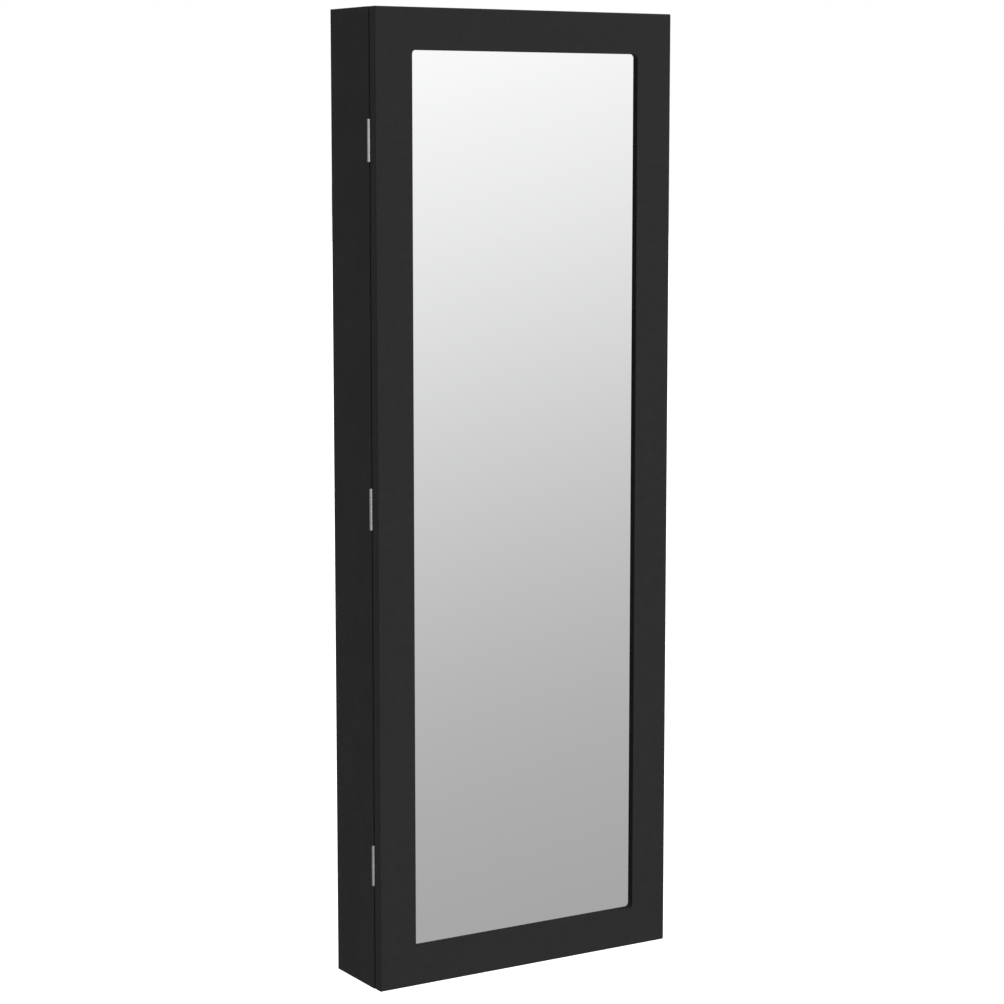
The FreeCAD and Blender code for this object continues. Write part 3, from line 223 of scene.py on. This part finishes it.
def metal(name, dark, light, rough_low, rough_high, grain, grain_size=420.0):
    """Plated metal: a slight draw grain, cloudy gloss, faint tone changes."""
    s = Surface(name, light, rough_low, 1.0)
    s.color(s.mix(s.span(s.noise(60.0, 4.0, 0.6), 0.0, 1.0), dark, light))
    s.rough(s.span(s.noise(170.0, 4.0, 0.65), rough_low, rough_high))
    s.bump(s.noise(grain_size, 3.0, 0.6, stretch=grain), 0.00002, 0.3)
    return s.mat


def make_materials():
    made = {}
    made["black_board"] = board("satin_black_film", (0.0188, 0.0188, 0.0190), (0.0209, 0.0209, 0.0211), 0.44, 0.54, 0.15)
    made["door_board"] = door_board()
    made["inner_board"] = board("inner_black_film", (0.025, 0.025, 0.0252), (0.030, 0.030, 0.0303), 0.40, 0.54, 0.40)

    s = Surface("inner_trim_black", (0.022, 0.022, 0.022), 0.42, Specular_IOR_Level=0.45)
    grain = s.noise(70.0, 5.0, 0.65, stretch=(0.12, 1.0, 1.0), distort=0.4)
    s.color(s.mix(s.span(grain, 0.0, 1.0), (0.016, 0.016, 0.0165), (0.027, 0.027, 0.0275)))
    s.rough(s.span(grain, 0.36, 0.52))
    s.bump(grain, 0.00012, 0.35)
    made["inner_trim"] = s.mat

    s = Surface("matte_black_hardboard", (0.022, 0.022, 0.022), 0.7, Specular_IOR_Level=0.3)
    fibres = s.noise(190.0, 5.0, 0.7, stretch=(1.0, 1.0, 0.22), distort=0.8)
    clouds = s.noise(7.0, 3.0)
    tone = s.mix(s.span(clouds, 0.0, 1.0), (0.017, 0.017, 0.0175), (0.025, 0.025, 0.0255))
    s.color(s.mix(s.span(fibres, 0.0, 0.5, 0.5, 0.8), tone, (0.04, 0.04, 0.041)))
    s.rough(s.span(fibres, 0.6, 0.82))
    s.bump(fibres, 0.0002, 0.4)
    made["back_board"] = s.mat

    made["flocking"] = velvet("black_flock", (0.035, 0.035, 0.0365), (0.052, 0.052, 0.0542), 0.55, (1.6, 1.6, 0.45))
    made["cushion_fabric"] = velvet("black_velvet", (0.040, 0.040, 0.042), (0.082, 0.082, 0.086), 0.80, (0.35, 1.0, 1.0))

    s = Surface("silvered_glass", (0.94, 0.945, 0.945), 0.004, 1.0)
    s.color(s.mix(s.span(s.noise(2.2, 2.0), 0.0, 1.0), (0.935, 0.940, 0.939), (0.945, 0.950, 0.950)))
    s.rough(s.span(s.noise(9.0, 4.0, 0.6), 0.002, 0.012))
    made["mirror"] = s.mat

    s = Surface("moulded_black", (0.018, 0.018, 0.018), 0.5, Specular_IOR_Level=0.45)
    grain = s.cells(900.0)
    s.color(s.mix(s.span(s.noise(30.0, 3.0), 0.0, 1.0), (0.015, 0.015, 0.0155), (0.021, 0.021, 0.0215)))
    s.rough(s.span(s.noise(90.0, 3.0), 0.44, 0.6))
    s.bump(grain, 0.00008, 0.35)
    made["black_plastic"] = s.mat

    s = Surface("soft_rubber", (0.03, 0.03, 0.03), 0.85, Specular_IOR_Level=0.3)
    s.color(s.mix(s.span(s.noise(400.0, 3.0), 0.0, 1.0), (0.022, 0.022, 0.022), (0.04, 0.04, 0.04)))
    s.rough(s.span(s.noise(150.0, 3.0), 0.78, 0.95))
    s.bump(s.noise(1500.0, 2.0), 0.00008, 0.4)
    made["rubber"] = s.mat

    s = Surface("raw_beech", (0.56, 0.40, 0.25), 0.6)
    grain = s.noise(90.0, 5.0, 0.6, stretch=(0.08, 1.0, 1.0), distort=0.5)
    s.color(s.mix(s.span(grain, 0.0, 1.0), (0.46, 0.30, 0.17), (0.64, 0.47, 0.30)))
    s.rough(s.span(grain, 0.5, 0.72))
    s.bump(grain, 0.0001, 0.4)
    made["beech"] = s.mat

    made["nickel"] = metal("bright_nickel", (0.60, 0.585, 0.55), (0.70, 0.685, 0.65), 0.14, 0.26, (1.0, 1.0, 0.3))
    made["zinc_steel"] = metal("zinc_plate", (0.56, 0.57, 0.58), (0.68, 0.69, 0.70), 0.26, 0.40, (1.0, 1.0, 0.6), 300.0)
    return made


finish = make_materials()
for part in frame["record"]["subparts"]:
    o = nodes[part["node"]]
    o.data.materials.clear()
    o.data.materials.append(finish["door_board" if part["node"] == "door_frame" else part["material_slot"]])


# ---------------------------------------------------------------- ring rolls
def mesh_object(name, bm, material):
    mesh = bpy.data.meshes.new(name)
    bm.normal_update()
    bm.to_mesh(mesh)
    bm.free()
    o = bpy.data.objects.new(name, mesh)
    scene.collection.objects.link(o)
    mesh.materials.append(material)
    return o


def baked(o, name=None):
    """The object's mesh with its modifiers applied."""
    bpy.context.view_layer.update()
    dg = bpy.context.evaluated_depsgraph_get()
    mesh = bpy.data.meshes.new_from_object(o.evaluated_get(dg))
    o.modifiers.clear()
    old = o.data
    o.data = mesh
    mesh.name = name or o.name
    bpy.data.meshes.remove(old)
    return o


def roll_form(bm, x0, x1, back, front, zc, half, around=28, along=70):
    """A closed roll lying along X: flat against its tray, crowned in front, its ends tucked in to a short seam."""
    mid, deep = (back + front) / 2, (back - front) / 2
    tuck = 0.0065
    rings = []
    for i in range(along + 1):
        u = i / along
        x = x0 + (x1 - x0) * u
        d = min(x - x0, x1 - x)
        s = 1.0 if d >= tuck else math.sqrt(max(0.0, 1.0 - ((tuck - d) / tuck) ** 2))
        sz, sy = 0.30 + 0.70 * s, 0.18 + 0.82 * s
        ring = []
        for k in range(around):
            a = 2 * math.pi * k / around
            c, n = math.cos(a), math.sin(a)
            e = 2.0 / 2.7
            z = half * math.copysign(abs(c) ** e, c) * sz
            y = -deep * math.copysign(abs(n) ** e, n) * sy
            # the seam lies near the tray, so the ends tuck down as well as in
            ring.append(bm.verts.new((x, mid + y + deep * 0.55 * (1 - s), zc + z)))
        rings.append(ring)
    for r0, r1 in zip(rings, rings[1:]):
        for k in range(around):
            m = (k + 1) % around
            bm.faces.new((r0[k], r1[k], r1[m], r0[m]))
    bm.faces.new(rings[0])
    bm.faces.new(list(reversed(rings[-1])))


def ring_rolls():
    low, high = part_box("ring_cushion")
    count = 8
    pitch = 0.0178
    half = (high.z - low.z - pitch * (count - 1)) / 2
    centres = [low.z + half + pitch * i for i in range(count)]
    x0, x1 = low.x + 0.0003, high.x - 0.0003
    back, front = high.y - 0.0001, low.y + 0.0012
    meshes = []
    for zc in centres:
        bm = bmesh.new()
        roll_form(bm, x0, x1, back, front, zc, half - 0.0007)
        o = mesh_object("roll_blank", bm, finish["cushion_fabric"])
        m = o.modifiers.new("Remesh", "REMESH")
        m.mode = "VOXEL"
        m.voxel_size = 0.0021
        baked(o)
        meshes.append(o)
    bm = bmesh.new()
    for o in meshes:
        bm.from_mesh(o.data)
        data = o.data
        bpy.data.objects.remove(o)
        bpy.data.meshes.remove(data)
    rolls = mesh_object("ring_cushion_rolls", bm, finish["cushion_fabric"])
    rest = [v.co.copy() for v in rolls.data.vertices]
    held = rolls.vertex_groups.new(name="held")
    held.add([v.index for v in rolls.data.vertices if v.co.y > back - 0.0016], 1.0, "REPLACE")
    held.add([v.index for v in rolls.data.vertices if min(v.co.x - x0, x1 - v.co.x) < 0.0015], 0.8, "REPLACE")
    cloth = rolls.modifiers.new("Cloth", "CLOTH")
    st = cloth.settings
    st.vertex_group_mass = "held"
    st.quality = 6
    st.mass = 0.2
    st.tension_stiffness = 12.0
    st.compression_stiffness = 12.0
    st.shear_stiffness = 4.0
    st.bending_stiffness = 0.05
    st.use_pressure = True
    st.uniform_pressure_force = 4.0
    st.effector_weights.gravity = 0.0
    cloth.collision_settings.use_collision = False
    cloth.point_cache.frame_start = 1
    cloth.point_cache.frame_end = 20
    for f in range(1, 21):
        scene.frame_set(f)
    baked(rolls)
    scene.frame_set(1)
    # the fabric's travel is capped, and it stays off its tray and its neighbours
    cap = 0.0016
    bm = bmesh.new()
    bm.from_mesh(rolls.data)
    bm.verts.ensure_lookup_table()
    bm.normal_update()
    for v, home in zip(bm.verts, rest):
        step = v.co - home
        if step.length > cap:
            v.co = home + step.normalized() * cap
    for _ in range(2):
        bmesh.ops.smooth_vert(bm, verts=bm.verts, factor=0.5, use_axis_x=True, use_axis_y=True, use_axis_z=True)
    bm.normal_update()
    for v in bm.verts:
        i = min(range(count), key=lambda k: abs(v.co.z - centres[k]))
        zc = centres[i]
        end = min(v.co.x - x0, x1 - v.co.x)
        seed = Vector((31.7 * i, 0.0, 0.0))
        crease = noise.noise(Vector((v.co.x * 42, v.co.y * 160, v.co.z * 160)) + seed)
        pucker = math.sin(v.co.z * 2600 + 5 * noise.noise(v.co * 60)) * max(0.0, 1 - end / 0.012)
        dent = noise.noise(Vector((v.co.x * 16 + 9.1 * i, 3.3, 0.0)))
        face = max(0.0, -v.normal.y)
        v.co += v.normal * (0.00032 * crease + 0.00022 * pucker) + Vector((0, 0.0006, 0)) * dent * face
        v.co.z = min(max(v.co.z, zc - pitch / 2 + 0.00012), zc + pitch / 2 - 0.00012)
        v.co.y = min(v.co.y, back)
        v.co.x = min(max(v.co.x, x0 - 0.0002), x1 + 0.0002)
    bm.to_mesh(rolls.data)
    bm.free()
    for p in rolls.data.polygons:
        p.use_smooth = True
    sub = rolls.modifiers.new("Subdivision", "SUBSURF")
    sub.levels = sub.render_levels = 1
    baked(rolls)
    for p in rolls.data.polygons:
        p.use_smooth = True
    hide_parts("ring_cushion")
    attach(rolls, "cabinet")
    return rolls


ring_rolls()


# ---------------------------------------------------------------- screw heads
def cross_recess(bm, top, n, u, v, turn, half, width, deep):
    """A closed cross-shaped plug that tapers from just above the head's face to the recess's floor."""
    rings = []
    for h, a, w in ((0.0003, half, width), (-deep, half * 0.45, width * 0.62)):
        flat = [(a, -w), (a, w), (w, w), (w, a), (-w, a), (-w, w), (-a, w), (-a, -w), (-w, -w), (-w, -a), (w, -a), (w, -w)]
        c, s = math.cos(turn), math.sin(turn)
        rings.append([bm.verts.new(top + n * h + u * (x * c - y * s) + v * (x * s + y * c)) for x, y in flat])
    for k in range(12):
        m = (k + 1) % 12
        bm.faces.new((rings[0][k], rings[0][m], rings[1][m], rings[1][k]))
    bm.faces.new(rings[0])
    bm.faces.new(list(reversed(rings[1])))


def crossed_screws(node, axis, sign, half, width, deep):
    """The node's screws, each with a cross recess cut in its head, turned as they happened to be driven."""
    bm = bmesh.new()
    bm.from_mesh(nodes[node].data)
    bmesh.ops.remove_doubles(bm, verts=bm.verts, dist=2e-6)
    seen, heads = set(), []
    for start in bm.verts:
        if start in seen:
            continue
        stack, low, high = [start], start.co.copy(), start.co.copy()
        seen.add(start)
        while stack:
            p = stack.pop()
            for i in range(3):
                low[i], high[i] = min(low[i], p.co[i]), max(high[i], p.co[i])
            for e in p.link_edges:
                q = e.other_vert(p)
                if q not in seen:
                    seen.add(q)
                    stack.append(q)
        top = (low + high) / 2
        top[axis] = high[axis] if sign > 0 else low[axis]
        heads.append(top)
    heads.sort(key=lambda t: (round(t.z, 4), round(t.x, 4)))
    # a flat head's rim stands a hair inside its countersink, so its edge shows
    for p in bm.verts:
        top = min(heads, key=lambda t: (t - p.co).length)
        off = p.co - top
        if abs(off[axis]) < 2e-5 and off.length > 0.0015:
            off[axis] = 0.0
            p.co -= off.normalized() * 0.00018
    part = next(p for p in frame["record"]["subparts"] if p["node"] == node)
    o = mesh_object(node + "_crossed", bm, finish[part["material_slot"]])
    loaded = o.data.attributes.get("custom_normal")
    if loaded is not None:
        o.data.attributes.remove(loaded)
    n = Vector([sign if i == axis else 0.0 for i in range(3)])
    u = Vector([0.0, 0.0, 1.0])
    v = n.cross(u)
    bm = bmesh.new()
    for k, top in enumerate(heads):
        cross_recess(bm, top, n, u, v, (0.4 + 2.399 * k) % (math.pi / 2), half, width, deep)
    bmesh.ops.recalc_face_normals(bm, faces=bm.faces)
    plug = mesh_object("recess_plugs", bm, finish[part["material_slot"]])
    cut = o.modifiers.new("Recess", "BOOLEAN")
    cut.operation = "DIFFERENCE"
    cut.solver = "EXACT"
    cut.object = plug
    baked(o)
    spare = plug.data
    bpy.data.objects.remove(plug)
    bpy.data.meshes.remove(spare)
    for p in o.data.polygons:
        p.use_smooth = True
    o.data.set_sharp_from_angle(angle=math.radians(28))
    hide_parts(node)
    for body, owned in frame["record"]["behaviour"]["bodies"].items():
        if node in owned:
            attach(o, body)


for args in (
    ("hinge_screws_fixed", 1, -1, 0.00125, 0.00028, 0.0011),
    ("hinge_screws_door", 1, 1, 0.00125, 0.00028, 0.0011),
    ("magnet_plate_screws", 1, 1, 0.00130, 0.00028, 0.0012),
    ("wall_hanger_screws", 1, 1, 0.00135, 0.00030, 0.0012),
    ("earring_board_screws", 1, -1, 0.00125, 0.00028, 0.0012),
    ("door_back_screws", 1, 1, 0.00130, 0.00029, 0.0012),
    ("lock_catch_screws", 1, 1, 0.00130, 0.00029, 0.0011),
    ("lock_cam_screw", 0, -1, 0.00170, 0.00036, 0.0014),
):
    crossed_screws(*args)


# ---------------------------------------------------------------- light and ground
def world_light():
    world = bpy.data.worlds.new("studio")
    scene.world = world
    world.use_nodes = True
    t = world.node_tree
    t.nodes.clear()
    new, link = t.nodes.new, t.links.new
    out = new("ShaderNodeOutputWorld")
    both = new("ShaderNodeMixShader")
    path = new("ShaderNodeLightPath")
    plain = new("ShaderNodeBackground")
    plain.inputs["Color"].default_value = (1, 1, 1, 1)
    plain.inputs["Strength"].default_value = 1.0
    env = new("ShaderNodeBackground")
    link(path.outputs["Is Camera Ray"], both.inputs[0])
    link(env.outputs[0], both.inputs[1])
    link(plain.outputs[0], both.inputs[2])
    link(both.outputs[0], out.inputs["Surface"])

    co = new("ShaderNodeTexCoord")
    sep = new("ShaderNodeSeparateXYZ")
    link(co.outputs["Generated"], sep.inputs[0])

    def maths(op, a, b):
        n = new("ShaderNodeMath")
        n.operation = op
        for k, value in enumerate((a, b)):
            if isinstance(value, (int, float)):
                n.inputs[k].default_value = value
            else:
                link(value, n.inputs[k])
        return n.outputs[0]

    def reach(value, low, high, a, b, kind="SMOOTHSTEP"):
        n = new("ShaderNodeMapRange")
        n.interpolation_type = kind
        n.clamp = True
        link(value, n.inputs["Value"])
        for key, number in (("From Min", low), ("From Max", high), ("To Min", a), ("To Max", b)):
            n.inputs[key].default_value = number
        return n.outputs[0]

    # a tall soft sweep in front: bright above the eye line, falling to grey below it
    lean = maths("ADD", maths("MULTIPLY", sep.outputs["X"], -0.333), 0.163)
    # what the mirror shows falls to grey on the other side as well
    width = maths("SQRT", maths("ADD", maths("MULTIPLY", sep.outputs["X"], sep.outputs["X"]), 0.0225), 0.0)
    even = maths("ADD", maths("MULTIPLY", maths("SUBTRACT", width, 0.15), -0.3466), 0.1254)
    turn = maths("MULTIPLY", maths("SUBTRACT", even, lean), path.outputs["Is Glossy Ray"])
    level = maths("ADD", sep.outputs["Z"], maths("ADD", lean, turn))
    ramp = new("ShaderNodeValToRGB")
    ramp.color_ramp.interpolation = "B_SPLINE"
    grey = [(-0.40, 0.380), (-0.30, 0.388), (-0.20, 0.490), (-0.10, 0.705), (0.0, 0.955), (0.08, 1.12)]
    link(reach(level, -0.5, 0.5, 0.0, 1.0, "LINEAR"), ramp.inputs[0])
    els = ramp.color_ramp.elements
    while len(els) < len(grey):
        els.new(0.5)
    for el, (at, value) in zip(els, grey):
        el.position = at + 0.5
        el.color = (value, value, value, 1)
    side = reach(sep.outputs["Y"], -0.55, 0.05, 0.0, 1.0)
    mixed = new("ShaderNodeMix")
    mixed.data_type = "RGBA"
    link(side, mixed.inputs[0])
    link(ramp.outputs[0], mixed.inputs[6])
    # dim behind on the left, lighter behind on the right
    link(reach(sep.outputs["X"], 0.0, 0.45, 0.30, 0.95), mixed.inputs[7])
    link(mixed.outputs[2], env.inputs["Color"])
    env.inputs["Strength"].default_value = 1.0


world_light()


def softbox(name, place, aim, size, power):
    data = bpy.data.lights.new(name, "AREA")
    data.shape = "RECTANGLE"
    data.size, data.size_y = size
    data.energy = power
    o = bpy.data.objects.new(name, data)
    scene.collection.objects.link(o)
    o.location = place
    o.rotation_euler = (Vector(aim) - Vector(place)).to_track_quat("-Z", "Y").to_euler()
    o.visible_glossy = False
    return o


softbox("key", (0.9, -3.0, -0.9), (0, 0, -0.45), (1.8, 1.8), 24.0)


def ground():
    bm = bmesh.new()
    bmesh.ops.create_grid(bm, x_segments=2, y_segments=2, size=30.0)
    s = Surface("pale_ground", (0.86, 0.86, 0.86), 0.9)
    s.color(s.mix(s.span(s.noise(3.0, 3.0), 0.0, 1.0), (0.85, 0.85, 0.85), (0.88, 0.88, 0.88)))
    s.put("Emission Color", (1, 1, 1, 1))
    s.put("Emission Strength", 0.82)
    o = mesh_object("ground", bm, s.mat)
    o.location = (0, 0, -1.35)
    o.visible_glossy = False
    o.visible_diffuse = False
    o.visible_shadow = False


ground()
scene.view_settings.view_transform = "Standard"
scene.view_settings.look = "None"
